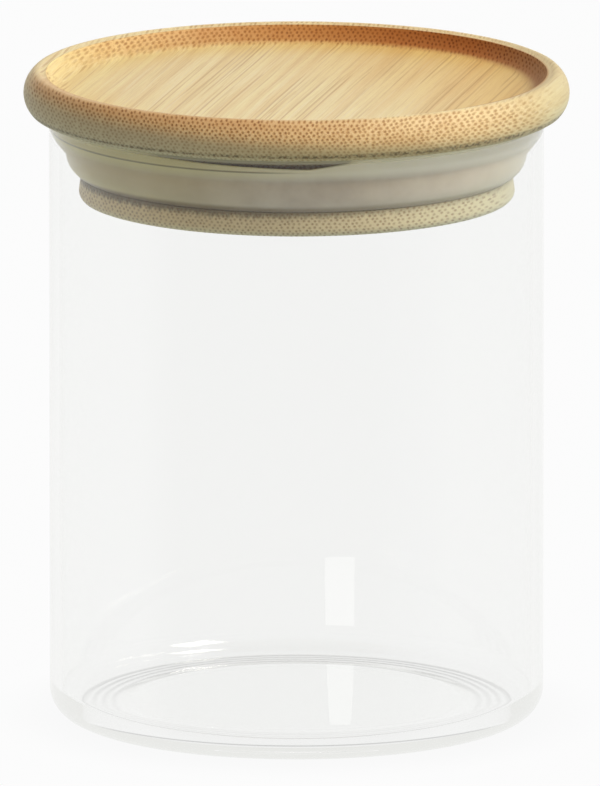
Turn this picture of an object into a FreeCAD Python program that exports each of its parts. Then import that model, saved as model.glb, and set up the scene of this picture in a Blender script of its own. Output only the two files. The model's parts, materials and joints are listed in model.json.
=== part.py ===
import FreeCAD, Part
import os
import Sketcher

# Food canister: a straight-walled glass jar closed by a turned bamboo lid, whose plug carries a
# silicone sealing ring. Millimetres, +Z up, origin at the centre of the face the jar stands on.
# Each piece is turned from one section, so a point of a section is written as (radius, height).

DIMENSIONS = {
    # glass jar: straight wall, full-round rim, rounded base corner, base pushed up a little
    "jar_radius": 50.0,
    "half_wall": 1.15,
    "rim_height": 124.1,
    "base_thickness": 3.0,
    "base_corner": 5.7,
    "inner_corner": 4.5,
    "foot_inner_radius": 38.5,
    "underside_rise": 0.8,
    "floor_rise": 1.0,
    # bamboo lid: plug with a groove for the seal, flange with a bullnose edge, dished top
    "plug_radius": 44.0,
    "plug_taper": 0.4,
    "plug_corner": 1.8,
    "plug_bottom": 106.9,
    "groove_bottom": 112.0,
    "groove_top": 121.8,
    "neck_radius": 41.5,
    "flange_radius": 55.1,
    "bullnose_radius": 5.25,
    "bullnose_height": 128.1,
    "flange_underside": 124.2,
    "underside_edge": 53.36,
    "crest_radius": 52.72,
    "crest_height": 132.5,
    "dish_edge_radius": 50.6,
    "dish_edge_height": 132.1,
    "dish_cove": 5.25,
    "dish_floor_radius": 45.7,
    "dish_floor": 128.8,
    "edge_softening": 0.4,
    # silicone seal: sleeve in the groove, bellied skirt outside it, thin lip against the glass
    "seal_clearance": 0.05,
    "sleeve_thickness": 1.5,
    "sleeve_height": 7.6,
    "skirt_foot": 2.3,
    "belly_radius": 46.6,
    "belly_height": 117.0,
    "belly_curve": 7.0,
    "skirt_thickness": 1.5,
    "notch_radius": 43.9,
    "notch_height": 115.0,
    "lip_radius": 47.6,
    "lip_start": 120.7,
    "lip_top": 122.9,
    "lip_thickness": 0.7,
}

AXIS = "axis"
GROUND = "ground"
V_AXIS = -2
H_AXIS = -1
ROOT = -1
LEFT = 1
RIGHT = -1
DOME = "dome"
EDGE_MATCH = 0.02


def make_sheet(doc):
    """Write the driving dimensions into the spreadsheet, one named cell each."""
    sheet = doc.addObject("Spreadsheet::Sheet", "Dimensions")
    for row, (name, value) in enumerate(DIMENSIONS.items(), start=1):
        sheet.set(f"A{row}", name)
        sheet.set(f"B{row}", str(value))
        sheet.setAlias(f"B{row}", name)
    doc.recompute()
    return sheet


def measure(text):
    """Value in mm of a sum or difference of named dimensions, such as 'jar_radius - half_wall'."""
    if text in (AXIS, GROUND):
        return 0.0
    words = text.split()
    total = DIMENSIONS[words[0]]
    for sign, name in zip(words[1::2], words[2::2]):
        total += DIMENSIONS[name] if sign == "+" else -DIMENSIONS[name]
    return total


def formula(text):
    """The same sum as an expression on the spreadsheet."""
    return " ".join(word if word in "+-" else f"Dimensions.{word}" for word in text.split())


def point(radius, height):
    return FreeCAD.Vector(measure(radius), measure(height), 0)


def arc_between(start, end, radius, side):
    """Minor arc from start to end that turns LEFT or RIGHT on the way."""
    chord = end - start
    half = chord.Length / 2
    reach = max(radius**2 - half**2, 0.0) ** 0.5
    left = FreeCAD.Vector(-chord.y, chord.x, 0).normalize()
    centre = start + chord * 0.5 + left * (side * reach)
    middle = centre - left * (side * radius)
    return Part.Arc(start, middle, end)


def dome_between(start, end):
    """Shallow arc between a corner on the axis and one off it, centred on the axis below them."""
    top, foot = (start, end) if start.x < end.x else (end, start)
    rise = top.y - foot.y
    radius = (foot.x**2 + rise**2) / (2 * rise)
    return arc_between(start, end, radius, RIGHT if top is start else LEFT)


def edge_between(start, end, step):
    """Line, arc or dome from start to end, as the step that reaches end asks."""
    if len(step) == 2:
        return Part.LineSegment(start, end)
    if step[2] == DOME:
        return dome_between(start, end)
    return arc_between(start, end, measure(step[2]), step[3])


def add_section(body, name, steps):
    """Draw a closed section on the body's XZ plane and tie it to the spreadsheet.

    steps holds (radius, height) for a corner reached by a straight line. A corner reached by an
    arc has two more entries, the arc's radius and LEFT or RIGHT for the way it turns, and one
    reached by a shallow dome round the axis has DOME. The last corner joins back to the first by
    a straight line.
    """
    sketch = body.newObject("Sketcher::SketchObject", name)
    plane = [item for item in body.Origin.OriginFeatures if item.Role == "XZ_Plane"][0]
    sketch.AttachmentSupport = [(plane, "")]
    sketch.MapMode = "FlatFace"
    corners = [point(step[0], step[1]) for step in steps]
    count = len(steps)
    for index in range(count):
        after = (index + 1) % count
        sketch.addGeometry(edge_between(corners[index], corners[after], steps[after]), False)

    def end_at(geometry, corner):
        gaps = [(sketch.getPoint(geometry, end) - corner).Length for end in (1, 2)]
        return 1 if gaps[0] < gaps[1] else 2

    for index, step in enumerate(steps):
        before = (index - 1) % count
        here = end_at(index, corners[index])
        there = end_at(before, corners[index])
        sketch.addConstraint(Sketcher.Constraint("Coincident", before, there, index, here))
        bind_place(sketch, index, here, f"{name}_{index}", step)
        if step[-1] == DOME:
            sketch.addConstraint(Sketcher.Constraint("PointOnObject", before, 3, V_AXIS))
        elif len(step) == 4:
            bend = Sketcher.Constraint("Radius", before, measure(step[2]))
            bind(sketch, bend, f"{name}_{index}_bend", step[2])
    return sketch


def bind(sketch, constraint, label, text):
    """Add a sized constraint and drive it from the spreadsheet."""
    index = sketch.addConstraint(constraint)
    sketch.renameConstraint(index, label)
    sketch.setExpression(f"Constraints.{label}", formula(text))


def bind_place(sketch, geometry, end, label, step):
    """Hold one corner of a section at its radius and height."""
    radius, height = step[0], step[1]
    if radius == AXIS:
        sketch.addConstraint(Sketcher.Constraint("PointOnObject", geometry, end, V_AXIS))
    else:
        across = Sketcher.Constraint("DistanceX", ROOT, 1, geometry, end, measure(radius))
        bind(sketch, across, f"{label}_radius", radius)
    if height == GROUND:
        sketch.addConstraint(Sketcher.Constraint("PointOnObject", geometry, end, H_AXIS))
    else:
        up = Sketcher.Constraint("DistanceY", ROOT, 1, geometry, end, measure(height))
        bind(sketch, up, f"{label}_height", height)


def make_body(doc, label):
    body = doc.addObject("PartDesign::Body", label)
    body.Label = label
    body.Placement = FreeCAD.Placement()
    doc.recompute()
    return body


def turn(doc, body, name, steps, kind="PartDesign::Revolution"):
    """Turn a section through a full circle: a Revolution adds it, a Groove cuts it away."""
    sketch = add_section(body, f"{name}_section", steps)
    doc.recompute()
    feature = body.newObject(kind, name)
    feature.Profile = sketch
    feature.ReferenceAxis = (sketch, ["V_Axis"])
    feature.Angle = 360
    doc.recompute()
    return feature


def cut(doc, body, name, steps):
    """Turn a groove and make sure that it removed material."""
    before = body.Shape.Volume
    feature = turn(doc, body, name, steps, "PartDesign::Groove")
    if body.Shape.Volume >= before:
        raise RuntimeError(f"{name} removed nothing")
    return feature


def soften(doc, body, name, rings):
    """Round the circular edges that run at the given (radius, height) places."""
    base = body.Tip
    edges = []
    for number, edge in enumerate(base.Shape.Edges, start=1):
        curve = edge.Curve
        if not isinstance(curve, Part.Circle):
            continue
        for radius, height in rings:
            off_radius = abs(curve.Radius - measure(radius))
            off_height = abs(curve.Center.z - measure(height))
            if max(off_radius, off_height) < EDGE_MATCH:
                edges.append(f"Edge{number}")
    if len(edges) != len(rings):
        raise RuntimeError(f"{name} found {len(edges)} of {len(rings)} edges")
    fillet = body.newObject("PartDesign::Fillet", name)
    fillet.Base = (base, edges)
    fillet.setExpression("Radius", formula("edge_softening"))
    doc.recompute()
    return fillet


def make_glass_jar(doc):
    """Straight-walled jar: domed thin base, rounded corners and a full-round rim."""
    body = make_body(doc, "glass_jar")
    inside = "jar_radius - half_wall - half_wall"
    turn(doc, body, "jar_wall", [
        (AXIS, "underside_rise"),
        ("foot_inner_radius", GROUND, DOME),
        ("jar_radius - base_corner", GROUND),
        ("jar_radius", "base_corner", "base_corner", LEFT),
        ("jar_radius", "rim_height - half_wall"),
        ("jar_radius - half_wall", "rim_height", "half_wall", LEFT),
        (inside, "rim_height - half_wall", "half_wall", LEFT),
        (inside, "base_thickness + inner_corner"),
        (f"{inside} - inner_corner", "base_thickness", "inner_corner", RIGHT),
        (AXIS, "base_thickness + floor_rise", DOME),
    ])
    return body


def make_bamboo_lid(doc):
    """Lid turned from one bamboo blank: plug, flange with a bullnose edge and a dished top."""
    body = make_body(doc, "bamboo_lid")
    shank = "plug_radius - plug_taper"
    turn(doc, body, "lid_blank", [
        (AXIS, "plug_bottom"),
        ("plug_radius - plug_corner", "plug_bottom"),
        ("plug_radius", "plug_bottom + plug_corner", "plug_corner", LEFT),
        (shank, "groove_bottom"),
        (shank, "flange_underside"),
        ("underside_edge", "flange_underside"),
        ("flange_radius", "bullnose_height", "bullnose_radius", LEFT),
        ("crest_radius", "crest_height", "bullnose_radius", LEFT),
        ("dish_edge_radius", "dish_edge_height"),
        ("dish_floor_radius", "dish_floor", "dish_cove", RIGHT),
        (AXIS, "dish_floor"),
    ])
    cut(doc, body, "seal_groove", [
        ("neck_radius", "groove_bottom"),
        ("flange_radius", "groove_bottom"),
        ("flange_radius", "groove_top"),
        ("neck_radius", "groove_top"),
    ])
    soften(doc, body, "softened_edges", [
        ("underside_edge", "flange_underside"),
        ("crest_radius", "crest_height"),
        ("dish_edge_radius", "dish_edge_height"),
        (shank, "groove_top"),
    ])
    return body


def make_silicone_seal(doc):
    """Ring of one section: a sleeve on the lid's neck and a skirt that ends in a thin lip."""
    body = make_body(doc, "silicone_seal")
    bore = "neck_radius + seal_clearance"
    foot = "groove_bottom + seal_clearance"
    turn(doc, body, "seal_ring", [
        (bore, foot),
        ("neck_radius + skirt_foot", foot),
        ("belly_radius", "belly_height", "belly_curve", LEFT),
        ("lip_radius", "lip_start"),
        ("lip_radius", "lip_top"),
        ("lip_radius - lip_thickness", "lip_top"),
        ("lip_radius - lip_thickness", "lip_start"),
        ("belly_radius - skirt_thickness", "belly_height"),
        ("notch_radius", "notch_height"),
        (f"{bore} + sleeve_thickness", "notch_height"),
        (f"{bore} + sleeve_thickness", f"{foot} + sleeve_height"),
        (bore, f"{foot} + sleeve_height"),
    ])
    return body


def check(doc, pieces):
    """Stop if any object failed to build, or any piece is not one closed solid."""
    for item in doc.Objects:
        if {"Invalid", "Error"} & set(item.State):
            raise RuntimeError(f"{item.Label} is in state {item.State}")
    for piece in pieces:
        shape = piece.Shape
        if shape.isNull() or not shape.isValid() or len(shape.Solids) != 1:
            raise RuntimeError(f"{piece.Label} is not one valid solid")


def main():
    doc = FreeCAD.newDocument("FoodCanister")
    make_sheet(doc)
    pieces = [make_glass_jar(doc), make_bamboo_lid(doc), make_silicone_seal(doc)]
    doc.recompute()
    check(doc, pieces)
    os.makedirs("parts", exist_ok=True)
    for piece in pieces:
        piece.Shape.exportStep(f"parts/{piece.Label}.step")
        print(piece.Label, round(piece.Shape.Volume), piece.Shape.BoundBox)


main()
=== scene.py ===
import json
import math

import bpy
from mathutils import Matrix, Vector

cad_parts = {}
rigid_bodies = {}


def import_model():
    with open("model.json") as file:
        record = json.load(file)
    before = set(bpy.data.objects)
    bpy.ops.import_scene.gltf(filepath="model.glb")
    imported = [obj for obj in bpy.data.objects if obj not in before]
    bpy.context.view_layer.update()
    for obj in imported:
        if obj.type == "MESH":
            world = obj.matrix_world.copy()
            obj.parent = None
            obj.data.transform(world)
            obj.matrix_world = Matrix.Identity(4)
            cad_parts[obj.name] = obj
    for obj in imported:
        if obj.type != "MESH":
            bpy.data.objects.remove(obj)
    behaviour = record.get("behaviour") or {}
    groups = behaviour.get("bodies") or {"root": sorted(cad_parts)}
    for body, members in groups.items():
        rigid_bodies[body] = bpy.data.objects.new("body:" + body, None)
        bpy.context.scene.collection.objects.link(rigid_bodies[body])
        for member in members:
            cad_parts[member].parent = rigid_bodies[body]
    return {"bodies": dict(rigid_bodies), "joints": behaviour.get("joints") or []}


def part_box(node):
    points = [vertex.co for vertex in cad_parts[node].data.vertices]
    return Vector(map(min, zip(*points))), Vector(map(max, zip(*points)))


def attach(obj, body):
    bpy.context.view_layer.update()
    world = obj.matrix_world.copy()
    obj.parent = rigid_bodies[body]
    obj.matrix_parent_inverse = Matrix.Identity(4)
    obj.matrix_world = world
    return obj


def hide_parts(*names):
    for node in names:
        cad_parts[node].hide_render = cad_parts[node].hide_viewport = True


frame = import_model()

# Food canister: a clear glass jar, a turned bamboo lid and a silicone sealing ring.
# Every piece is turned about the Z axis from one section, written in millimetres as
# (radius, height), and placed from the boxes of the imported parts.

MM = 0.001
FULL_TURN = 2 * math.pi
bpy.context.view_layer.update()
JAR_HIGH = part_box("glass_jar")[1]
LID_LOW, LID_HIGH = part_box("bamboo_lid")
SEAL_LOW, SEAL_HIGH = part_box("silicone_seal")

# ---------------------------------------------------------------- sizes, in millimetres

JAR_RADIUS = JAR_HIGH.x / MM
RIM_HEIGHT = JAR_HIGH.z / MM
HALF_WALL = 1.15
BASE_THICKNESS = 3.0
BASE_CORNER = 5.7
INNER_CORNER = 4.5
FOOT_INNER_RADIUS = 38.5
FOOT_BLEND = 6.0                   # the foot fades into the hollow underside over this width
UNDERSIDE_RISE = 0.8
FLOOR_RISE = 1.0

FLANGE_RADIUS = LID_HIGH.x / MM
CREST_HEIGHT = LID_HIGH.z / MM
PLUG_BOTTOM = LID_LOW.z / MM
FLANGE_UNDERSIDE = PLUG_BOTTOM + 17.3
BULLNOSE = 5.25
BULLNOSE_HEIGHT = FLANGE_UNDERSIDE + 3.9
DISH_FLOOR = CREST_HEIGHT - 3.7
DISH_FLOOR_RADIUS = 45.7
DISH_COVE = 5.25
DISH_EDGE_RADIUS = 50.6
PLUG_RADIUS = 44.0
PLUG_SHANK = 43.6
PLUG_CORNER = 1.8
GROOVE_BOTTOM = PLUG_BOTTOM + 5.1
GROOVE_TOP = PLUG_BOTTOM + 14.9
NECK_RADIUS = 41.5
EASED_EDGE = 0.35

SEAL_FOOT = SEAL_LOW.z / MM
SEAL_CLEARANCE = 0.05
SLEEVE_THICKNESS = 1.5
SLEEVE_HEIGHT = 7.6
LIP_TOP = SEAL_HIGH.z / MM
LIP_RADIUS = SEAL_HIGH.x / MM
LIP_THICKNESS = 0.7
LIP_START = LIP_TOP - 2.2          # where the lip rises from the skirt
SKIRT_OUTSIDE = (                  # (radius, height above the foot): belly, notch, flare
    (44.6, 0.7), (45.4, 1.6), (46.0, 2.6), (46.4, 3.7), (46.6, 4.8), (46.65, 5.9),
    (46.45, 6.5), (46.7, 7.0), (47.15, 7.8),
)
SKIRT_INSIDE = ((45.1, 5.0), (44.5, 3.6), (43.9, 3.0))

DIP_CENTRE = math.radians(273)     # the lip is pinched lowest here, near the front,
DIP_LEFT = math.radians(56)        # and climbs back slowly to the left
DIP_RIGHT = math.radians(13)       # and quickly to the right
DIP_DEPTH = 1.5

GLASS_IOR = 1.47
WETTED_IOR_DROP = 0.10             # how much less the glass bends light where the seal wets it
PORE_STEP = 1.04                   # spacing of the bamboo's fibre bundles along a row
PORE_ROW = 0.64                    # and from row to row
GRAIN_TURN = math.radians(12)      # the bamboo's fibres run this far from the Y axis
THREAD_WIDTH = 0.34                # a single fibre seen from the side
THREAD_LENGTH = 30.0

RING_BAND = (35.5, 37.0, 43.0, 45.0)   # radii between which painted shade rings show through the base
RING_WAVE = 3.1                    # radians per millimetre
SHADOW_RADIUS = 66.0
PANE_ORIGIN = (9.0, -49.0, 0.0)    # the spot on the jar's wall from which the painted window reflection is laid out
PANE_BEARING = math.radians(20)    # it stands this far to the right of the front
PANE_HALF_WIDTH = math.radians(8)
PANES = ((65.0, 30.0), (166.0, 34.0))  # (distance of a pane's middle, half its length)
PANE_STRENGTH = 4.2

# ---------------------------------------------------------------- camera

IMAGE_HEIGHT = 786                 # pixels
PIXELS_PER_MM = 4.945
CAMERA_ELEVATION = math.radians(11.65)
CAMERA_DISTANCE = 5.5              # metres
CAMERA_AIM = (0.7, 0.0, 66.0)      # millimetres
BACK_OFF = 0.17                    # share of its distance that it backs off as the lid lifts
FLOOR_REACH = 30.0                 # metres


# ---------------------------------------------------------------- mesh tools

def arc(centre, radius, start, end, steps):
    """Points of an arc in degrees, 0 pointing away from the axis and 90 up."""
    points = []
    for k in range(steps + 1):
        angle = math.radians(start + (end - start) * k / steps)
        points.append((centre[0] + radius * math.cos(angle), centre[1] + radius * math.sin(angle)))
    return points


def dome(edge_radius, edge_height, rise, steps, outward):
    """Shallow dome between the axis and its edge."""
    points = []
    for k in range(steps + 1):
        share = k / steps
        points.append((edge_radius * share, edge_height + rise * (1 - share**2)))
    return points if outward else points[::-1]


def line(start, end, steps):
    """Points spread evenly from start to end."""
    return [
        (start[0] + (end[0] - start[0]) * k / steps, start[1] + (end[1] - start[1]) * k / steps)
        for k in range(steps + 1)
    ]


def without_doubles(points, gap=0.01):
    """The same outline without points that coincide."""
    kept = []
    for p in points:
        if not kept or math.dist(p, kept[-1]) > gap:
            kept.append(p)
    return kept


def lathe(name, outline, segments, shape=None):
    """Turn an outline about the Z axis. An outline that starts and ends on the axis closes at two
    poles, and any other one closes on itself. shape(radius, height, angle) may move a point."""
    outline = without_doubles(outline)
    poled = outline[0][0] < 1e-6 and outline[-1][0] < 1e-6
    ring_points = outline[1:-1] if poled else outline
    verts = []
    faces = []
    for radius, height in ring_points:
        for k in range(segments):
            angle = FULL_TURN * k / segments
            r, z = shape(radius, height, angle) if shape else (radius, height)
            verts.append((r * math.cos(angle) * MM, r * math.sin(angle) * MM, z * MM))
    rings = len(ring_points)
    for i in range(rings - 1 if poled else rings):
        j = (i + 1) % rings
        for k in range(segments):
            n = (k + 1) % segments
            faces.append((i * segments + k, i * segments + n, j * segments + n, j * segments + k))
    if poled:
        first, last = len(verts), len(verts) + 1
        verts.append((0, 0, outline[0][1] * MM))
        verts.append((0, 0, outline[-1][1] * MM))
        top = (rings - 1) * segments
        for k in range(segments):
            n = (k + 1) % segments
            faces.append((first, n, k))
            faces.append((last, top + k, top + n))
    mesh = bpy.data.meshes.new(name)
    mesh.from_pydata(verts, [], faces)
    mesh.validate()
    mesh.shade_smooth()
    mesh.set_sharp_from_angle(angle=math.radians(50))
    piece = bpy.data.objects.new(name, mesh)
    bpy.context.scene.collection.objects.link(piece)
    return piece


# ---------------------------------------------------------------- material tools

class Nodes:
    """Short names for building one node tree."""

    def __init__(self, tree):
        self.tree = tree
        tree.nodes.clear()

    def add(self, kind, inputs=None, **settings):
        node = self.tree.nodes.new(kind)
        for key, value in settings.items():
            setattr(node, key, value)
        for key, value in (inputs or {}).items():
            self.feed(node, key, value)
        return node

    def feed(self, node, key, value):
        socket = node.inputs[key]
        if isinstance(value, bpy.types.NodeSocket):
            self.tree.links.new(value, socket)
        else:
            socket.default_value = value

    def math(self, operation, a, b=0.0, c=0.0, clamp=False):
        node = self.add("ShaderNodeMath", {0: a, 1: b, 2: c}, operation=operation, use_clamp=clamp)
        return node.outputs[0]

    def product(self, first, *others):
        for other in others:
            first = self.math("MULTIPLY", first, other)
        return first

    def apart(self, a, b):
        """How far a and b are from each other."""
        return self.math("ABSOLUTE", self.math("SUBTRACT", a, b))

    def between(self, share, start, end):
        """start where share is 0, end where it is 1."""
        return self.math("MULTIPLY_ADD", share, end - start, start)

    def vector(self, operation, a, b=(0, 0, 0)):
        node = self.add("ShaderNodeVectorMath", {0: a, 1: b}, operation=operation)
        return node.outputs["Value" if operation in ("DOT_PRODUCT", "LENGTH") else "Vector"]

    def scaled(self, vector, factors):
        return self.vector("MULTIPLY", vector, factors)

    def parts(self, vector):
        return self.add("ShaderNodeSeparateXYZ", {"Vector": vector}).outputs

    def ramp(self, value, low, high, smooth=True):
        """0 at low and beyond it, 1 at high and beyond it."""
        kind = "SMOOTHSTEP" if smooth else "LINEAR"
        node = self.add(
            "ShaderNodeMapRange", {"Value": value, "From Min": low, "From Max": high},
            interpolation_type=kind,
        )
        return node.outputs["Result"]

    def mix(self, factor, a, b, blend="MIX"):
        node = self.add("ShaderNodeMix", data_type="RGBA", blend_type=blend)
        self.feed(node, 0, factor)
        self.feed(node, 6, a)
        self.feed(node, 7, b)
        return node.outputs[2]

    def lay(self, ground, tone, share, amount):
        """ground with tone laid over it, to the given amount where share is 1."""
        return self.mix(self.product(share, amount), ground, tone)

    def noise(self, where, scale, detail=3.0, rough=0.5):
        node = self.add(
            "ShaderNodeTexNoise",
            {"Vector": where, "Scale": scale, "Detail": detail, "Roughness": rough},
        )
        return node.outputs["Fac"]

    def drawn_out(self, where, across, along, detail, rough):
        """Noise drawn out along Y, with its scales across and along."""
        return self.noise(self.scaled(where, (across, along, across)), 1.0, detail, rough)


class Spot:
    """The shaded point in millimetres, measured on its own piece or on the given object: how far
    it is to the right of the axis, to the back of it and up, and its distance from the axis."""

    def __init__(self, n, measured_on=None):
        own = n.add("ShaderNodeTexCoord", object=measured_on).outputs["Object"]
        self.point = n.scaled(own, (1 / MM, 1 / MM, 1 / MM))
        self.flat = n.scaled(self.point, (1.0, 1.0, 0.0))
        self.right, self.back, self.height = n.parts(self.point)
        self.radius = n.vector("LENGTH", self.flat)


def new_material(name):
    material = bpy.data.materials.new(name)
    material.use_nodes = True
    return material, Nodes(material.node_tree)


def colour(r, g, b):
    return (r, g, b, 1.0)


# ---------------------------------------------------------------- bamboo: the grain

LONG_PALE = colour(0.95, 0.89, 0.56)
LONG_WARM = colour(0.82, 0.66, 0.36)
LONG_DEEP = colour(0.50, 0.32, 0.13)
LONG_LIGHT = colour(0.93, 0.87, 0.64)
END_PALE = colour(0.82, 0.55, 0.26)
END_DEEP = colour(0.52, 0.27, 0.095)
END_LIGHT = colour(0.88, 0.68, 0.42)
# painted shade on the dish's wall, which the key lamp from the right does not reach
PAINTED_WALL_SHADE = colour(0.46, 0.165, 0.035)
PAINTED_WALL_SHADOW = colour(0.38, 0.105, 0.030)
PORE_DARK = colour(0.20, 0.075, 0.025)
# pores in the painted shadow on the dish's right wall
PORE_IN_SHADOW = colour(0.145, 0.048, 0.016)
# painted warm shade on the front of the crest
PAINTED_CREST_SHADE = colour(0.60, 0.30, 0.11)
# painted shadow under the seal and along the flange's lower edge
PAINTED_EDGE_SHADOW = colour(0.10, 0.075, 0.035)
# painted warm shade on the dish's floor toward the back right, and painted warm bounce light near
# its edge
PAINTED_CORNER_SHADE = colour(0.90, 0.76, 0.54)
PAINTED_BOUNCE_TINT = colour(1.0, 0.94, 0.74)


def grain_coordinates(n, spot):
    """Position in millimetres with Y along the bamboo's fibres, and how square the surface stands
    to them: 1 on end grain, 0 on long grain."""
    turned = n.add("ShaderNodeMapping", {"Vector": spot.point, "Rotation": (0, 0, GRAIN_TURN)})
    normal = n.add("ShaderNodeNewGeometry").outputs["Normal"]
    own = n.add(
        "ShaderNodeVectorTransform", {"Vector": normal},
        vector_type="NORMAL", convert_from="WORLD", convert_to="OBJECT",
    )
    fibre = (math.sin(GRAIN_TURN), math.cos(GRAIN_TURN), 0.0)
    facing = n.vector("DOT_PRODUCT", own.outputs["Vector"], fibre)
    return turned.outputs["Vector"], n.math("ABSOLUTE", facing)


def wandering(n, where):
    """The same position, shifted as the fibres wander a little along their length."""
    slow = n.scaled(where, (0.03, 0.010, 0.03))
    wander = n.add("ShaderNodeTexNoise", {"Vector": slow, "Scale": 1.0, "Detail": 2.0})
    shift = n.vector("SUBTRACT", wander.outputs["Color"], (0.5, 0.5, 0.5))
    return n.vector("ADD", where, n.scaled(shift, (1.6, 0.0, 1.6)))


def nearest_bundle(n, bent):
    """Distance to the nearest fibre bundle in millimetres, and two random numbers that it holds.
    The bundles stand in rows, each row half a step along from the last, and run along the grain."""
    across, _, up = n.parts(bent)
    row = n.math("DIVIDE", up, PORE_ROW)
    column = n.math("MULTIPLY_ADD", row, 0.5, n.math("DIVIDE", across, PORE_STEP))
    lattice = n.add("ShaderNodeCombineXYZ", {0: column, 1: row}).outputs[0]
    cells = n.add(
        "ShaderNodeTexVoronoi", {"Vector": lattice, "Scale": 1.0, "Randomness": 0.40},
        voronoi_dimensions="2D", feature="F1",
    )
    columns_off, rows_off, _ = n.parts(n.vector("SUBTRACT", lattice, cells.outputs["Position"]))
    off_across = n.product(n.math("MULTIPLY_ADD", rows_off, -0.5, columns_off), PORE_STEP)
    off_up = n.product(rows_off, PORE_ROW)
    offset = n.add("ShaderNodeCombineXYZ", {0: off_across, 1: off_up}).outputs[0]
    first, second, _ = n.parts(cells.outputs["Color"])
    return n.vector("LENGTH", offset), first, second


def thread_tone(n, bent):
    """A random number for each single fibre seen from the side."""
    size = (1 / THREAD_WIDTH, 1 / THREAD_LENGTH, 1 / THREAD_WIDTH)
    thread = n.add(
        "ShaderNodeTexVoronoi", {"Vector": n.scaled(bent, size), "Scale": 1.0, "Randomness": 1.0},
        voronoi_dimensions="3D", feature="F1",
    )
    return n.parts(thread.outputs["Color"])[0]


class Grain:
    """The bamboo's fibres at the shaded point, and what several layers of its look share."""

    def __init__(self, n, spot):
        self.where, self.square = grain_coordinates(n, spot)
        self.bent = wandering(n, self.where)
        self.end = n.math("POWER", self.square, 1.4)
        self.open = n.ramp(self.square, 0.05, 0.50)
        self.distance, self.first, self.second = nearest_bundle(n, self.bent)
        self.streak = n.drawn_out(self.bent, 2.4, 0.022, 4.0, 0.6)
        self.fibre = n.drawn_out(self.bent, 8.0, 0.07, 2.0, 0.6)
        self.band = n.ramp(n.drawn_out(self.bent, 0.30, 0.004, 2.0, 0.5), 0.34, 0.68)


def long_grain(n, grain):
    """The wood seen along its fibres: pale, with warm bands, fine threads and broken bundles."""
    tone = thread_tone(n, grain.bent)
    broken = n.ramp(n.drawn_out(grain.bent, 0.6, 0.020, 1.0, 0.5), 0.36, 0.54)
    bundle = n.product(n.ramp(grain.distance, 0.32, 0.12), n.ramp(grain.second, 0.15, 0.80), broken)
    ground = n.lay(LONG_PALE, LONG_WARM, grain.band, 0.65)
    ground = n.lay(ground, LONG_DEEP, n.ramp(grain.streak, 0.46, 0.82), 0.12)
    ground = n.lay(ground, LONG_DEEP, n.ramp(tone, 0.70, 1.0), 0.22)
    ground = n.lay(ground, LONG_LIGHT, n.ramp(tone, 0.30, 0.02), 0.50)
    return n.lay(ground, LONG_DEEP, bundle, 0.52)


def end_grain(n, grain):
    """The wood seen across its fibres, without its pores."""
    ground = n.lay(END_PALE, END_DEEP, grain.band, 0.50)
    return n.lay(ground, LONG_PALE, n.ramp(grain.streak, 0.50, 0.80), 0.30)


def clean_wood(n, grain):
    """Both faces of the grain, with fibres, patches, specks and a halo around each pore."""
    patch = n.noise(grain.where, 0.045, 2.0, 0.5)
    speck = n.drawn_out(grain.bent, 2.6, 0.05, 3.0, 0.7)
    halo = n.ramp(grain.distance, 0.45, 0.20)
    ground = n.mix(grain.end, long_grain(n, grain), end_grain(n, grain))
    ground = n.lay(ground, END_DEEP, n.ramp(grain.fibre, 0.35, 0.8), 0.22)
    ground = n.lay(ground, LONG_WARM, n.ramp(patch, 0.4, 0.8), 0.14)
    ground = n.lay(ground, END_DEEP, n.product(n.ramp(speck, 0.40, 0.72), grain.end), 0.30)
    return n.lay(ground, END_DEEP, n.product(halo, grain.open), 0.45)


def web_and_grit(n, grain, opened, ground):
    """A pale web between the pores, and short dark and light flecks."""
    grit = n.drawn_out(grain.bent, 4.6, 0.30, 1.0, 0.6)
    gritty = n.between(opened, 0.2, 1.0)
    ground = n.lay(ground, END_LIGHT, n.product(n.ramp(grain.distance, 0.30, 0.50), opened), 0.30)
    ground = n.lay(ground, END_DEEP, n.product(n.ramp(grit, 0.50, 0.72), gritty), 0.42)
    return n.lay(ground, END_LIGHT, n.product(n.ramp(grit, 0.50, 0.28), gritty), 0.42)


# ---------------------------------------------------------------- bamboo: painted light and shade

def flange_edge_shadow(n, spot):
    """1 in the broken painted shadow line a little above the flange's lower edge, broader to the
    right.
    """
    breadth = n.between(n.ramp(spot.right, -10.0, 30.0), 0.45, 0.80)
    off_line = n.math("DIVIDE", n.apart(spot.height, FLANGE_UNDERSIDE + 1.0), breadth)
    on_line = n.product(n.ramp(off_line, 1.0, 0.2), n.ramp(spot.radius, 50.0, 52.0))
    broken = n.ramp(n.noise(spot.point, 1.3, 2.0, 0.6), 0.42, 0.62)
    return n.product(on_line, n.between(broken, 0.25, 1.0))


def low_face_shade(n, spot):
    """1 on the lower part of the flange's rounded edge, where grey-green painted shade is laid. It
    climbs to the left.
    """
    climb = n.math("MULTIPLY_ADD", spot.right, -0.050, BULLNOSE_HEIGHT + 1.6)
    below = n.ramp(n.math("SUBTRACT", climb, spot.height), 0.0, 3.6)
    return n.product(below, n.math("GREATER_THAN", spot.radius, 50.0))


def crest_shade(n, spot):
    """1 on the front of the crest, browned by painted warm shade, more so to the left."""
    high = n.ramp(spot.height, BULLNOSE_HEIGHT + 1.4, BULLNOSE_HEIGHT + 3.8)
    front_left = n.product(n.ramp(spot.back, 4.0, -16.0), n.ramp(spot.right, 28.0, -22.0))
    off_floor = n.math("GREATER_THAN", spot.radius, DISH_EDGE_RADIUS - 0.4)
    return n.product(high, front_left, off_floor)


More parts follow.
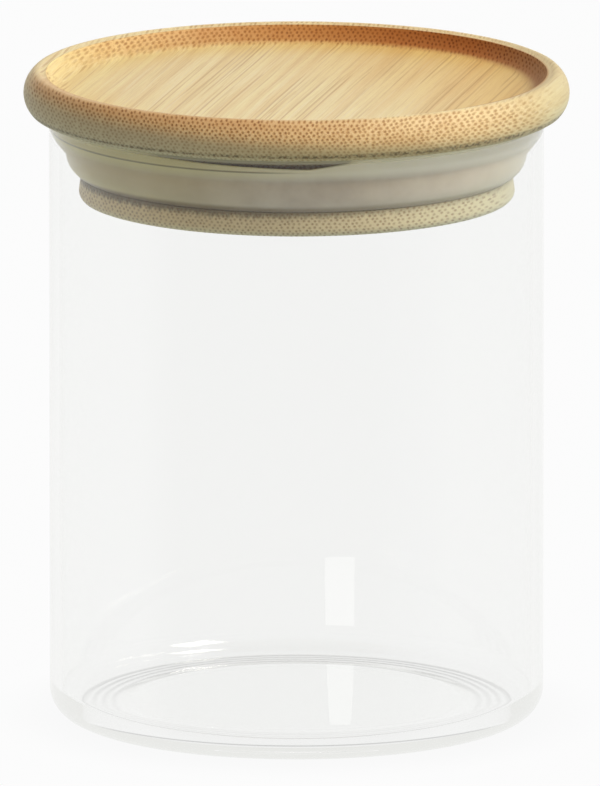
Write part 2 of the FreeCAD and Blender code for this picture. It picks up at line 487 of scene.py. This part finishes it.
def plug_shade_and_shadow(n, spot):
    """1 on the plug, where a grey-green painted shade is laid, and 1 in the band under the seal, a
    painted shadow with some oil stain, whose lower edge is ragged and which is darker to the left."""
    damp = n.ramp(spot.height, GROOVE_BOTTOM + 0.6, GROOVE_BOTTOM)
    ragged = n.product(n.noise(n.scaled(spot.point, (1.0, 1.0, 0.35)), 1.5, 2.0, 0.7), 2.2)
    reach = n.math("ADD", n.math("MULTIPLY_ADD", spot.right, 0.004, GROOVE_BOTTOM - 2.3), ragged)
    risen = n.ramp(n.math("SUBTRACT", spot.height, reach), -0.5, 0.9)
    band = n.product(risen, n.ramp(spot.height, GROOVE_TOP, GROOVE_TOP - 1.0))
    return damp, n.product(band, n.between(n.ramp(spot.right, -20.0, 30.0), 1.0, 0.40))


def dish_shade(n, spot):
    """1 on the wall of the dish and 1 on that wall's darker right side, for painted shade, 1 near
    the edge of its floor, for painted warm bounce light, and 1 on the floor toward the back right,
    for painted shade."""
    inside = n.ramp(spot.radius, DISH_EDGE_RADIUS + 0.6, DISH_EDGE_RADIUS - 0.3)
    risen = n.product(inside, n.ramp(spot.height, DISH_FLOOR + 0.02, DISH_FLOOR + 0.9))
    wall = n.product(risen, n.ramp(spot.right, -56.0, 2.0))
    deep = n.product(risen, n.ramp(spot.right, -8.0, 32.0))
    level = n.product(inside, n.ramp(spot.height, DISH_FLOOR - 1.0, DISH_FLOOR - 0.5))
    floor_edge = n.product(level, n.ramp(spot.radius, 33.0, 46.0))
    toward_corner = n.math("MULTIPLY_ADD", spot.back, 0.45, spot.right)
    return wall, deep, floor_edge, n.product(level, n.ramp(toward_corner, -5.0, 42.0))


class PaintedShadeAndStains:
    """Where light and shade are painted on the lid, and where it is stained under the seal."""

    def __init__(self, n, spot):
        self.damp, self.shadow_under_seal = plug_shade_and_shadow(n, spot)
        self.wall, self.deep, self.floor_edge, self.corner_shade = dish_shade(n, spot)
        self.low = low_face_shade(n, spot)
        self.crest = crest_shade(n, spot)
        self.edge = flange_edge_shadow(n, spot)


def used_wood(n, spot, shade_and_stains, ground):
    """The wood with painted shade and bounce light in the dish, painted shade on the crest, low on
    the flange, at its far right and on the plug, and painted shadow under the seal and by the
    flange's edge."""
    to_right = n.ramp(spot.right, -38.0, 12.0)
    # grey-green painted shade, greyer to the left and browner to the right
    shade_olive = n.mix(to_right, colour(0.48, 0.475, 0.35), colour(0.40, 0.35, 0.20))
    # grey-green painted shade for the plug, paler to the left
    damp_grey = n.mix(to_right, colour(0.86, 0.76, 0.48), colour(0.64, 0.63, 0.45))
    damp_amount = n.between(n.ramp(spot.right, 10.0, 40.0), 0.55, 0.75)
    # painted warm bounce light near the edge of the dish's floor, and painted shade toward its back
    # right
    ground = n.mix(n.product(shade_and_stains.floor_edge, 0.75), ground, PAINTED_BOUNCE_TINT, "MULTIPLY")
    ground = n.mix(shade_and_stains.corner_shade, ground, PAINTED_CORNER_SHADE, "MULTIPLY")
    # painted shade on the dish's wall, deepest on its right side
    ground = n.lay(ground, PAINTED_WALL_SHADE, shade_and_stains.wall, 0.67)
    ground = n.lay(ground, PAINTED_WALL_SHADOW, shade_and_stains.deep, 0.62)
    # painted warm shade on the crest's front, strongest to the left
    ground = n.lay(ground, PAINTED_CREST_SHADE, shade_and_stains.crest, 0.50)
    # painted shade low on the flange's rounded edge
    ground = n.lay(ground, shade_olive, shade_and_stains.low, 0.62)
    # painted grey-green shade on the plug
    ground = n.lay(ground, damp_grey, shade_and_stains.damp, damp_amount)
    # painted shadow, with some oil stain, in the band under the seal
    ground = n.lay(ground, PAINTED_EDGE_SHADOW, shade_and_stains.shadow_under_seal, 0.80)
    # painted shade on the flange's far right
    ground = n.lay(ground, shade_olive, n.ramp(spot.right, 34.0, 55.0), 0.42)
    # painted shadow line near the flange's lower edge
    return n.lay(ground, PAINTED_EDGE_SHADOW, shade_and_stains.edge, 0.82)


def pore_cover(n, spot, grain, shade_and_stains, opened):
    """How fully a pore covers the wood. Pores are fainter low on the flange and on the plug, to the
    right except on the plug and the dish's dark wall, and at the back left."""
    pore = n.product(n.ramp(grain.distance, 0.32, 0.09), n.between(grain.first, 0.60, 1.0))
    right_fade = n.between(n.math("MAXIMUM", shade_and_stains.damp, shade_and_stains.deep), 0.48, 0.0)
    fading = n.product(n.ramp(spot.right, -15.0, 40.0), right_fade)
    back_left = n.product(n.ramp(spot.right, 10.0, -30.0), n.ramp(spot.back, 4.0, 16.0))
    plain = n.product(n.between(shade_and_stains.low, 1.0, 0.50), n.between(shade_and_stains.damp, 1.0, 0.70))
    plain = n.product(plain, n.between(fading, 1.0, 0.0), n.between(back_left, 1.0, 0.55))
    return n.product(pore, plain, n.between(opened, 0.02, 0.76))


def bamboo_material():
    """Turned bamboo: close-set pores on end grain, long fine streaks on long grain, in bands of
    tone a few millimetres wide, with painted light and shade and a little oil stain."""
    material, n = new_material("bamboo")
    spot = Spot(n)
    grain = Grain(n, spot)
    shade_and_stains = PaintedShadeAndStains(n, spot)

    # the plug's grain is opened further round
    damp_open = n.product(shade_and_stains.damp, n.ramp(grain.square, 0.02, 0.30))
    opened = n.math("MAXIMUM", grain.open, damp_open)
    ground = web_and_grit(n, grain, opened, clean_wood(n, grain))
    ground = used_wood(n, spot, shade_and_stains, ground)
    cover = pore_cover(n, spot, grain, shade_and_stains, opened)
    # pores are darker where painted shadow lies on the dish's right wall
    final = n.mix(cover, ground, n.mix(shade_and_stains.deep, PORE_DARK, PORE_IN_SHADOW))

    # relief: pores are pits, fibres are fine ridges, and sanding leaves the long grain smoother
    relief = n.math("MULTIPLY_ADD", cover, -1.0, n.product(grain.fibre, 0.30))
    bump = n.add("ShaderNodeBump", {"Height": relief, "Distance": 0.12 * MM, "Strength": 0.8})
    dull = n.math("MULTIPLY_ADD", grain.end, 0.12, 0.44)
    dull = n.math("MULTIPLY_ADD", cover, 0.25, dull)
    dull = n.math("MULTIPLY_ADD", grain.streak, 0.12, dull, clamp=True)

    shader = n.add("ShaderNodeBsdfPrincipled", {
        "Base Color": final, "Roughness": dull, "Normal": bump.outputs["Normal"],
        "IOR": 1.45, "Specular IOR Level": n.between(shade_and_stains.deep, 0.30, 0.10),
    })
    n.add("ShaderNodeOutputMaterial", {"Surface": shader.outputs[0]})
    return material


# ---------------------------------------------------------------- silicone

def silicone_colour(n, spot, cloud, mottle, speck):
    """Greyish silicone with painted light and shade: a tint where it is seen edge on, for light
    shining through its thin edges, yellower painted shade to the left and paler painted light to the
    right."""
    facing = n.add("ShaderNodeLayerWeight", {"Blend": 0.5}).outputs["Facing"]
    to_left = n.ramp(spot.right, 10.0, -30.0)
    tint = n.mix(to_left, colour(0.52, 0.49, 0.32), colour(0.50, 0.46, 0.19))
    body = n.mix(n.ramp(cloud, 0.35, 0.7), colour(0.60, 0.52, 0.43), colour(0.52, 0.44, 0.36))
    body = n.lay(body, colour(0.42, 0.34, 0.27), n.ramp(mottle, 0.45, 0.8), 0.22)
    body = n.lay(body, colour(0.80, 0.77, 0.70), n.ramp(speck, 0.64, 0.76), 0.30)
    # painted light shining through the thin edges
    body = n.lay(body, tint, n.ramp(facing, 0.35, 0.92), 0.90)
    # painted shade on the left
    body = n.lay(body, colour(0.56, 0.445, 0.165), n.ramp(spot.right, 2.0, -40.0), 0.66)
    # painted light on the right, toward the key lamp
    return n.lay(body, colour(0.78, 0.73, 0.62), n.ramp(spot.right, 4.0, 44.0), 0.40)


def lip_and_crease(n, spot, body):
    """The lip is paler than the belly with painted light, to the left a fine painted shadow line
    parts the two, and painted shade darkens the crease at the foot."""
    to_right = n.ramp(spot.right, -40.0, 30.0)
    lip = n.ramp(spot.height, LIP_START - 2.2, LIP_START)
    painted_lip_light = n.mix(to_right, colour(0.76, 0.68, 0.30), colour(0.96, 0.89, 0.78))
    # painted light on the lip, where the flange shades it
    body = n.lay(body, painted_lip_light, lip, n.between(to_right, 0.45, 0.75))
    off_line = n.apart(spot.height, LIP_START + 0.1)
    parting_shadow = n.product(n.ramp(off_line, 0.30, 0.05), n.ramp(spot.right, 6.0, -12.0))
    # painted shadow line between the lip and the belly
    body = n.lay(body, colour(0.16, 0.12, 0.07), parting_shadow, 0.75)
    crease = n.ramp(spot.height, SEAL_FOOT + 1.7, SEAL_FOOT + 0.5)
    # painted shade in the crease at the foot
    return n.lay(body, colour(0.16, 0.095, 0.055), crease, n.between(to_right, 0.85, 0.40))


def silicone_material():
    """Translucent silicone with a satin moulded skin."""
    material, n = new_material("silicone")
    spot = Spot(n)
    cloud = n.noise(spot.point, 0.12, 3.0, 0.55)
    mottle = n.noise(spot.point, 0.9, 3.0, 0.6)
    speck = n.noise(spot.point, 2.6, 2.0, 0.6)
    body = lip_and_crease(n, spot, silicone_colour(n, spot, cloud, mottle, speck))
    sheen = n.math("MULTIPLY_ADD", speck, 0.18, 0.30, clamp=True)
    relief = n.math("MULTIPLY_ADD", mottle, 0.6, speck)
    bump = n.add("ShaderNodeBump", {"Height": relief, "Distance": 0.03 * MM, "Strength": 0.7})
    shader = n.add("ShaderNodeBsdfPrincipled", {
        "Base Color": body, "Roughness": sheen, "Normal": bump.outputs["Normal"], "IOR": 1.41,
        "Specular IOR Level": 0.25,
        "Subsurface Weight": 0.4, "Subsurface Scale": 1.5 * MM,
        "Subsurface Radius": (1.0, 0.85, 0.6),
    })
    n.add("ShaderNodeOutputMaterial", {"Surface": shader.outputs[0]})
    return material


# ---------------------------------------------------------------- glass

def lip_dip(n, spot):
    """How far the seal's lip is pinched down at this angle: 1 at the middle of the dip."""
    cosine = math.cos(DIP_CENTRE)
    sine = math.sin(DIP_CENTRE)
    along = n.math("MULTIPLY_ADD", spot.right, cosine, n.product(spot.back, sine))
    aside = n.math("MULTIPLY_ADD", spot.right, -sine, n.product(spot.back, cosine))
    turn = n.math("ARCTAN2", aside, along)
    left = n.ramp(turn, -DIP_LEFT, 0.0, smooth=False)
    right = n.ramp(turn, DIP_RIGHT, 0.0, smooth=False)
    return n.math("MINIMUM", left, right)


def seal_contact(n):
    """How closely the seal's skirt lies against the glass, wherever the seal is: 0 where it stands
    clear, 1 where its lip presses."""
    spot = Spot(n, frame["bodies"]["seal"])
    inner_skin = n.math("LESS_THAN", spot.radius, JAR_RADIUS - 2 * HALF_WALL + 0.05)
    top = n.math("MULTIPLY_ADD", lip_dip(n, spot), -DIP_DEPTH, LIP_TOP - 0.3)
    below_top = n.math("LESS_THAN", spot.height, top)
    closing = n.ramp(spot.height, LIP_TOP - 4.3, LIP_TOP - 2.3, smooth=False)
    return n.product(inner_skin, below_top, closing)


def clear_body(n, spot, path):
    """Glass with faint handling marks that lamps shine through, and that bends light less where
    silicone wets it."""
    smear = n.noise(spot.point, 0.05, 4.0, 0.6)
    ripple = n.noise(n.scaled(spot.point, (0.05, 0.05, 0.012)), 1.0, 1.0, 0.4)
    on_wall = n.ramp(spot.height, 8.0, 20.0)
    bump = n.add("ShaderNodeBump", {
        "Height": ripple, "Distance": 0.25 * MM, "Strength": n.product(on_wall, 0.5),
    })
    glass = n.add("ShaderNodeBsdfGlass", {
        "Color": colour(0.984, 0.985, 0.982),
        "Roughness": n.product(n.ramp(smear, 0.5, 0.8), 0.012),
        "IOR": n.math("MULTIPLY_ADD", seal_contact(n), -WETTED_IOR_DROP, GLASS_IOR),
        "Normal": bump.outputs["Normal"],
    })
    clear = n.add("ShaderNodeBsdfTransparent", {"Color": colour(0.96, 0.965, 0.96)})
    through = n.math("MAXIMUM", path.outputs["Is Shadow Ray"], path.outputs["Is Diffuse Ray"])
    return n.add("ShaderNodeMixShader", {0: through, 1: glass.outputs[0], 2: clear.outputs[0]})


def painted_rim_highlight(n):
    """A painted highlight along the fire-polished rim: a cream band that lets light through and
    scatters it.
    """
    cream = colour(0.92, 0.87, 0.68)
    glowing = n.add("ShaderNodeBsdfTranslucent", {"Color": cream})
    matt = n.add("ShaderNodeBsdfDiffuse", {"Color": cream})
    return n.add("ShaderNodeMixShader", {0: 0.5, 1: glowing.outputs[0], 2: matt.outputs[0]})


def glass_material():
    """Clear borosilicate glass with a painted highlight along its rim. Where light has turned many
    corners inside it, it glows pale, a painted light."""
    material, n = new_material("clear_glass")
    spot = Spot(n)
    path = n.add("ShaderNodeLightPath")
    # a painted highlight band along the rim
    rim = n.product(n.ramp(spot.height, RIM_HEIGHT - 1.5, RIM_HEIGHT - 1.0), 0.46)
    body = clear_body(n, spot, path)
    painted_shine = painted_rim_highlight(n)
    body = n.add("ShaderNodeMixShader", {0: rim, 1: body.outputs[0], 2: painted_shine.outputs[0]})
    # painted glow where rays have turned many corners inside the glass
    pale = n.add("ShaderNodeEmission", {"Color": colour(0.865, 0.865, 0.85), "Strength": 1.0})
    deep = n.math("GREATER_THAN", path.outputs["Glossy Depth"], 2.5)
    result = n.add("ShaderNodeMixShader", {0: deep, 1: body.outputs[0], 2: pale.outputs[0]})
    n.add("ShaderNodeOutputMaterial", {"Surface": result.outputs[0]})
    return material


# ---------------------------------------------------------------- pieces

def make_jar():
    """Jar wall, domed base and full-round rim as one closed skin of glass."""
    inside = JAR_RADIUS - 2 * HALF_WALL
    middle = JAR_RADIUS - HALF_WALL
    high = RIM_HEIGHT - HALF_WALL
    inner_low = BASE_THICKNESS + INNER_CORNER
    hollow = FOOT_INNER_RADIUS - FOOT_BLEND
    step = 0.35 * UNDERSIDE_RISE
    blend_steps = 12

    outline = dome(hollow, step, UNDERSIDE_RISE - step, 24, True)
    for k in range(1, blend_steps + 1):
        share = k / blend_steps
        outline.append((hollow + FOOT_BLEND * share, step * (1 + math.cos(math.pi * share)) / 2))
    outline += arc((JAR_RADIUS - BASE_CORNER, BASE_CORNER), BASE_CORNER, -90, 0, 20)
    outline += line((JAR_RADIUS, BASE_CORNER), (JAR_RADIUS, high), 30)
    outline += arc((middle, high), HALF_WALL, 0, 180, 20)
    outline += line((inside, high), (inside, inner_low), 30)
    outline += arc((inside - INNER_CORNER, inner_low), INNER_CORNER, 0, -90, 18)
    outline += dome(inside - INNER_CORNER, BASE_THICKNESS, FLOOR_RISE, 24, False)
    return lathe("glass_jar_body", outline, 256)


def make_lid():
    """Lid turned from bamboo: plug, groove, flange with a bullnose edge and a dished top."""
    ease = EASED_EDGE
    centre = (FLANGE_RADIUS - BULLNOSE, BULLNOSE_HEIGHT)
    low_angle, crest_angle = -46.0, 54.0
    crest_radius = arc(centre, BULLNOSE, crest_angle, crest_angle, 1)[0][0]
    edge_radius = arc(centre, BULLNOSE, low_angle, low_angle, 1)[0][0]

    outline = line((0.0, PLUG_BOTTOM), (PLUG_RADIUS - PLUG_CORNER, PLUG_BOTTOM), 16)
    outline += arc((PLUG_RADIUS - PLUG_CORNER, PLUG_BOTTOM + PLUG_CORNER), PLUG_CORNER, -90, 0, 10)
    outline += arc((PLUG_SHANK - ease, GROOVE_BOTTOM - ease), ease, 0, 90, 4)
    outline += arc((NECK_RADIUS + ease, GROOVE_BOTTOM + ease), ease, 270, 180, 4)
    outline += arc((NECK_RADIUS + ease, GROOVE_TOP - ease), ease, 180, 90, 4)
    outline += arc((PLUG_SHANK - ease, GROOVE_TOP + ease), ease, -90, 0, 4)
    outline += arc((PLUG_SHANK + ease, FLANGE_UNDERSIDE - ease), ease, 180, 90, 4)
    outline += line((PLUG_SHANK + 1.0, FLANGE_UNDERSIDE), (edge_radius - ease, FLANGE_UNDERSIDE), 6)
    outline += arc(centre, BULLNOSE, low_angle + 3, crest_angle - 3, 32)
    # a narrow crest, then a gentle slope to the dish's cove
    outline.append((crest_radius - 0.30, CREST_HEIGHT - 0.05))
    outline.append((crest_radius - 0.75, CREST_HEIGHT))
    outline.append((crest_radius - 1.2, CREST_HEIGHT - 0.08))
    outline.append((DISH_EDGE_RADIUS + 0.5, CREST_HEIGHT - 0.36))
    outline += arc((DISH_FLOOR_RADIUS, DISH_FLOOR + DISH_COVE), DISH_COVE, -21, -90, 18)
    outline += line((DISH_FLOOR_RADIUS, DISH_FLOOR), (0.0, DISH_FLOOR), 24)
    return lathe("bamboo_lid_body", outline, 320)


def make_seal():
    """Sealing ring: a sleeve in the groove and a bellied skirt whose thin lip meets the glass."""
    bore = NECK_RADIUS + SEAL_CLEARANCE
    sleeve = bore + SLEEVE_THICKNESS
    sleeve_top = SEAL_FOOT + SLEEVE_HEIGHT
    lip_inside = LIP_RADIUS - LIP_THICKNESS
    half_lip = LIP_THICKNESS / 2

    outline = arc((bore + 0.3, SEAL_FOOT + 0.3), 0.3, 180, 270, 4)
    outline += arc((NECK_RADIUS + 2.0, SEAL_FOOT + 0.3), 0.3, -90, -20, 4)
    outline += [(radius, SEAL_FOOT + rise) for radius, rise in SKIRT_OUTSIDE]
    outline += [(LIP_RADIUS - 0.1, LIP_START - 0.1), (LIP_RADIUS, LIP_START + 0.4)]
    outline += line((LIP_RADIUS, LIP_START + 0.8), (LIP_RADIUS, LIP_TOP - half_lip), 3)
    outline += arc((LIP_RADIUS - half_lip, LIP_TOP - half_lip), half_lip, 0, 180, 8)
    outline += line((lip_inside, LIP_TOP - 0.5), (lip_inside, LIP_START), 3)
    outline.append((46.0, LIP_START - 1.6))
    outline += [(radius, SEAL_FOOT + rise) for radius, rise in SKIRT_INSIDE]
    outline.append((sleeve, SEAL_FOOT + 3.1))
    outline += line((sleeve, SEAL_FOOT + 3.6), (sleeve, sleeve_top - 0.3), 5)
    outline += [(sleeve - 0.3, sleeve_top), (bore + 0.3, sleeve_top), (bore, sleeve_top - 0.3)]
    outline += line((bore, sleeve_top - 1.0), (bore, SEAL_FOOT + 1.0), 5)

    def sag(radius, height, angle):
        """Lower the lip where it is pinched."""
        turn = (angle - DIP_CENTRE + math.pi) % FULL_TURN - math.pi
        share = max(0.0, min(1 + turn / DIP_LEFT, 1 - turn / DIP_RIGHT))
        above = max(0.0, height - LIP_START) / (LIP_TOP - LIP_START)
        on_lip = 1.0 if radius > lip_inside - 0.2 else 0.0
        return radius, height - on_lip * above * share * DIP_DEPTH

    return lathe("silicone_seal_ring", outline, 320, sag)


# ---------------------------------------------------------------- stage, lights and camera

def studio_light(n, direction):
    """Light met in a direction: a plain white room seen straight on, a dim front in what is mirrored
    once, and on everything matt a soft fill, warm from above and cool from below."""
    right, back, up = n.parts(direction)
    white = colour(0.972, 0.972, 0.972)
    in_front = n.ramp(back, -0.15, -0.6)
    dim_front = n.mix(n.ramp(right, 0.55, 0.85), colour(0.36, 0.36, 0.35), colour(0.60, 0.61, 0.63))
    path = n.add("ShaderNodeLightPath")
    once = n.math("LESS_THAN", path.outputs["Ray Depth"], 1.5)
    mirrored = n.mix(n.product(in_front, once), white, dim_front)
    side = n.ramp(right, -0.9, 0.9)
    low_fill = n.mix(side, colour(0.33, 0.41, 0.40), colour(0.48, 0.53, 0.48))
    high_fill = n.mix(side, colour(0.42, 0.32, 0.235), colour(0.47, 0.39, 0.31))
    fill = n.mix(n.ramp(up, -0.3, 0.3), low_fill, high_fill)
    light = n.mix(path.outputs["Is Camera Ray"], mirrored, white)
    return n.mix(path.outputs["Is Diffuse Ray"], light, fill)


def floor_shade(n, spot):
    """How dark the floor is, all of it painted shade: rings seen through the base, stronger to the
    back, a painted contact shadow line under the foot, and a faint soft shadow around it."""
    start, full, fading, end = RING_BAND
    foot = JAR_RADIUS - BASE_CORNER
    # painted rings of shade, like the caustics under a glass base
    wave = n.math("MULTIPLY_ADD", n.math("SINE", n.product(spot.radius, RING_WAVE)), 0.5, 0.5)
    rings = n.product(n.ramp(spot.radius, start, full), n.ramp(spot.radius, end, fading), wave)
    rings = n.product(rings, n.between(n.ramp(spot.back, -10.0, 34.0), 0.10, 0.58))
    # painted contact shadow line under the foot
    contact = n.product(n.ramp(n.apart(spot.radius, foot - 0.6), 0.7, 0.1), 0.36)
    soft = n.product(n.ramp(spot.radius, SHADOW_RADIUS, foot), 0.03)
    soft = n.product(soft, n.math("GREATER_THAN", spot.radius, foot))
    return n.math("MAXIMUM", n.math("MAXIMUM", rings, contact), soft)


def painted_window_reflection(n, spot, direction):
    """1 in a painted reflection of a window's two panes, glowing patches that only what is mirrored
    once shows. They are left out where the jar is met at a glancing angle, so that its edge stays
    whole."""
    ahead = n.vector("SUBTRACT", spot.flat, PANE_ORIGIN)
    right, back, _ = n.parts(ahead)
    bearing = n.math("ARCTAN2", right, n.product(back, -1.0))
    wide = n.math("LESS_THAN", n.apart(bearing, PANE_BEARING), PANE_HALF_WIDTH)
    reach = n.vector("LENGTH", ahead)
    near, far = [n.math("LESS_THAN", n.apart(reach, middle), half) for middle, half in PANES]
    off_axis = n.math("ABSOLUTE", n.parts(n.vector("CROSS_PRODUCT", spot.flat, direction))[2])
    square_on = n.math("LESS_THAN", off_axis, 0.75 * JAR_RADIUS)
    path = n.add("ShaderNodeLightPath")
    once = n.math("LESS_THAN", path.outputs["Ray Depth"], 1.5)
    return n.product(wide, n.math("ADD", near, far), square_on, path.outputs["Is Glossy Ray"], once)


def make_floor():
    """Plain pale floor that glows like the room around it, with painted shade and a painted window
    reflection.
    """
    mesh = bpy.data.meshes.new("floor")
    signs = ((-1, -1), (1, -1), (1, 1), (-1, 1))
    corners = [(x * FLOOR_REACH, y * FLOOR_REACH, 0) for x, y in signs]
    mesh.from_pydata(corners, [], [(0, 1, 2, 3)])
    floor = bpy.data.objects.new("floor", mesh)
    floor.location.z = -0.05 * MM
    bpy.context.scene.collection.objects.link(floor)
    material, n = new_material("floor")
    spot = Spot(n)
    toward = n.add("ShaderNodeNewGeometry").outputs["Incoming"]
    direction = n.scaled(toward, (-1.0, -1.0, -1.0))
    strength = n.math("SUBTRACT", 1.0, floor_shade(n, spot))
    # painted window reflection: bright patches on the floor that the glass mirrors
    strength = n.math("MULTIPLY_ADD", painted_window_reflection(n, spot, direction), PANE_STRENGTH, strength)
    glow = n.add("ShaderNodeEmission", {"Color": studio_light(n, direction), "Strength": strength})
    n.add("ShaderNodeOutputMaterial", {"Surface": glow.outputs[0]})
    mesh.materials.append(material)


def make_world():
    """The room around the floor."""
    world = bpy.data.worlds.new("studio")
    world.use_nodes = True
    bpy.context.scene.world = world
    n = Nodes(world.node_tree)
    direction = n.add("ShaderNodeTexCoord").outputs["Generated"]
    sky = n.add("ShaderNodeBackground", {"Color": studio_light(n, direction), "Strength": 1.0})
    n.add("ShaderNodeOutputWorld", {"Surface": sky.outputs[0]})


def make_lamp(name, location, aim, size, power, tint):
    """Soft rectangular lamp at location, facing aim."""
    data = bpy.data.lights.new(name, "AREA")
    data.shape = "RECTANGLE"
    data.size, data.size_y = size
    data.energy = power
    data.color = tint
    lamp = bpy.data.objects.new(name, data)
    lamp.location = location
    lamp.rotation_euler = (Vector(aim) - Vector(location)).to_track_quat("-Z", "Y").to_euler()
    bpy.context.scene.collection.objects.link(lamp)
    return lamp


def make_lights():
    """A key lamp high to the right, and a low one that nothing mirrors or refracts."""
    middle = (0, 0, CREST_HEIGHT * MM)
    make_lamp("key", (0.80, -0.40, 0.88), middle, (0.45, 0.45), 9.2, (1.0, 0.96, 0.88))
    low = make_lamp("low", (0.90, -0.75, 0.10), middle, (0.50, 0.30), 1.6, (1.0, 0.97, 0.92))
    low.visible_glossy = low.visible_transmission = False


def make_camera():
    """Long lens from the front, a little above. It backs off as the lid lifts."""
    data = bpy.data.cameras.new("camera")
    data.sensor_width = 36.0
    data.lens = data.sensor_width * CAMERA_DISTANCE / (IMAGE_HEIGHT / PIXELS_PER_MM * MM)
    data.clip_start, data.clip_end = 0.5, FLOOR_REACH
    camera = bpy.data.objects.new("camera", data)
    back = Vector((0.0, -math.cos(CAMERA_ELEVATION), math.sin(CAMERA_ELEVATION)))
    camera.location = Vector(CAMERA_AIM) * MM + back * CAMERA_DISTANCE
    camera.rotation_euler = (-back).to_track_quat("-Z", "Y").to_euler()
    bpy.context.scene.collection.objects.link(camera)
    bpy.context.scene.camera = camera
    follow = camera.constraints.new("TRANSFORM")
    follow.target = frame["bodies"]["lid"]
    lift = next(j["range_m"][1] for j in frame["joints"] if j["name"] == "lid_lift")
    follow.from_max_z = lift
    follow.map_to_x_from = follow.map_to_y_from = follow.map_to_z_from = "Z"
    step = back * CAMERA_DISTANCE * BACK_OFF + Vector((0, 0, lift / 2))
    follow.to_max_y, follow.to_max_z = step.y, step.z
    follow.mix_mode = "ADD"


# ---------------------------------------------------------------- assembly

def fit(piece, body, node, material):
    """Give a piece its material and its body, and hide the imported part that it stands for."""
    piece.data.materials.append(material)
    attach(piece, body)
    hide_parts(node)


fit(make_jar(), "jar", "glass_jar", glass_material())
fit(make_lid(), "lid", "bamboo_lid", bamboo_material())
fit(make_seal(), "seal", "silicone_seal", silicone_material())
make_floor()
make_world()
make_lights()
make_camera()
bpy.context.scene.view_settings.view_transform = "Standard"
